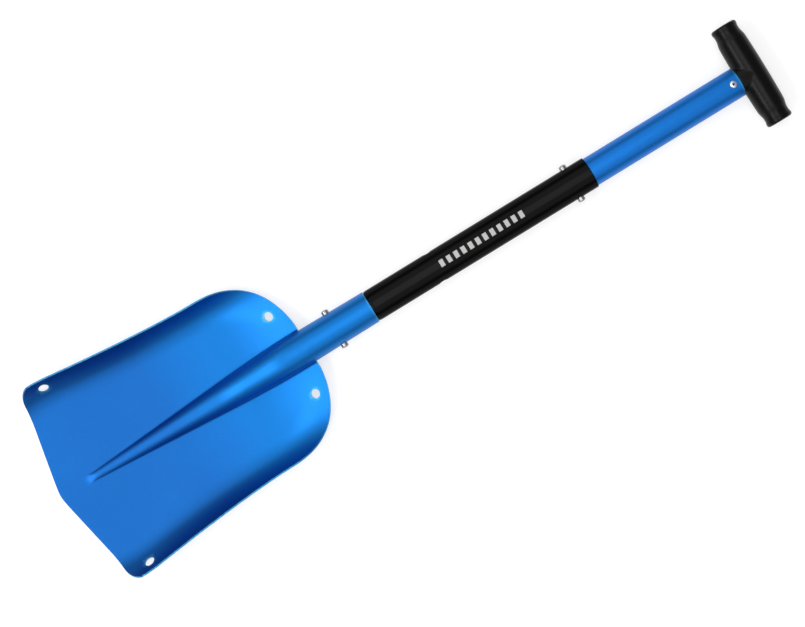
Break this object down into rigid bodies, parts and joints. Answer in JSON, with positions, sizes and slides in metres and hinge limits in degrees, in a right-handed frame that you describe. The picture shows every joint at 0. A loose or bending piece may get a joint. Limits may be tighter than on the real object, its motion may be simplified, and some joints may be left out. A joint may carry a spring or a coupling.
{
  "type": "avalanche shovel",
  "caption": "Three-piece snow shovel: pressed scoop blade with rolled socket, telescoping two-tube shaft with sprung snap buttons, and a moulded T-grip.",
  "frame": {"origin": "middle of the shovel's box on the plane that its back lies on", "axes": "+Y along the shaft from the blade to the T-grip, +Z out of the blade's scooped face, +X across the blade"},
  "size_m": [0.2164, 0.8099, 0.0352],
  "materials": {
    "blue_anodised": "bright blue anodised, satin, slightly mottled",
    "blue_anodised_tube": "bright blue anodised drawn tube, satin",
    "black_anodised": "black anodised drawn tube, satin",
    "black_plastic": "moulded nylon, fine grain",
    "bright_steel": "nickel plated, bright",
    "spring_steel": "bright rolled spring strip",
    "rivet_alloy": "plain aluminium blind rivet",
    "mandrel_steel": "dark broken steel stem"
  },
  "bodies": {
    "blade": {"blade": "blue_anodised"},
    "middle_tube": {"middle_tube": "black_anodised", "lower_snap_spring": "spring_steel"},
    "upper_tube": {"upper_tube": "blue_anodised_tube", "t_grip": "black_plastic", "upper_snap_spring": "spring_steel", "front_rivet": "rivet_alloy", "front_rivet_mandrel": "mandrel_steel", "rear_rivet": "rivet_alloy", "rear_rivet_mandrel": "mandrel_steel"},
    "lower_button_left": {"lower_snap_button_left": "bright_steel"},
    "lower_button_right": {"lower_snap_button_right": "bright_steel"},
    "upper_button_left": {"upper_snap_button_left": "bright_steel"},
    "upper_button_right": {"upper_snap_button_right": "bright_steel"}
  },
  "joints": [
    {"name": "middle_tube_slide", "type": "slide", "parent": "blade", "child": "middle_tube", "axis": [0, 1, 0], "range_m": [0, 0.076]},
    {"name": "upper_tube_slide", "type": "slide", "parent": "middle_tube", "child": "upper_tube", "axis": [0, 1, 0], "range_m": [-0.1574, 0.07]},
    {"name": "lower_left_button_press", "type": "slide", "parent": "middle_tube", "child": "lower_button_left", "axis": [1, 0, 0], "range_m": [0, 0.0064], "stiffness_N_per_m": 1500, "springref_m": -0.003, "deforming": ["lower_snap_spring", "lower_snap_button_left"]},
    {"name": "lower_right_button_press", "type": "slide", "parent": "middle_tube", "child": "lower_button_right", "axis": [-1, 0, 0], "range_m": [0, 0.0064], "stiffness_N_per_m": 1500, "springref_m": -0.003, "deforming": ["lower_snap_spring", "lower_snap_button_right"]},
    {"name": "upper_left_button_press", "type": "slide", "parent": "upper_tube", "child": "upper_button_left", "axis": [1, 0, 0], "range_m": [0, 0.0056], "stiffness_N_per_m": 1500, "springref_m": -0.003, "deforming": ["upper_snap_spring", "upper_snap_button_left"]},
    {"name": "upper_right_button_press", "type": "slide", "parent": "upper_tube", "child": "upper_button_right", "axis": [-1, 0, 0], "range_m": [0, 0.0056], "stiffness_N_per_m": 1500, "springref_m": -0.003, "deforming": ["upper_snap_spring", "upper_snap_button_right"]}
  ]
}
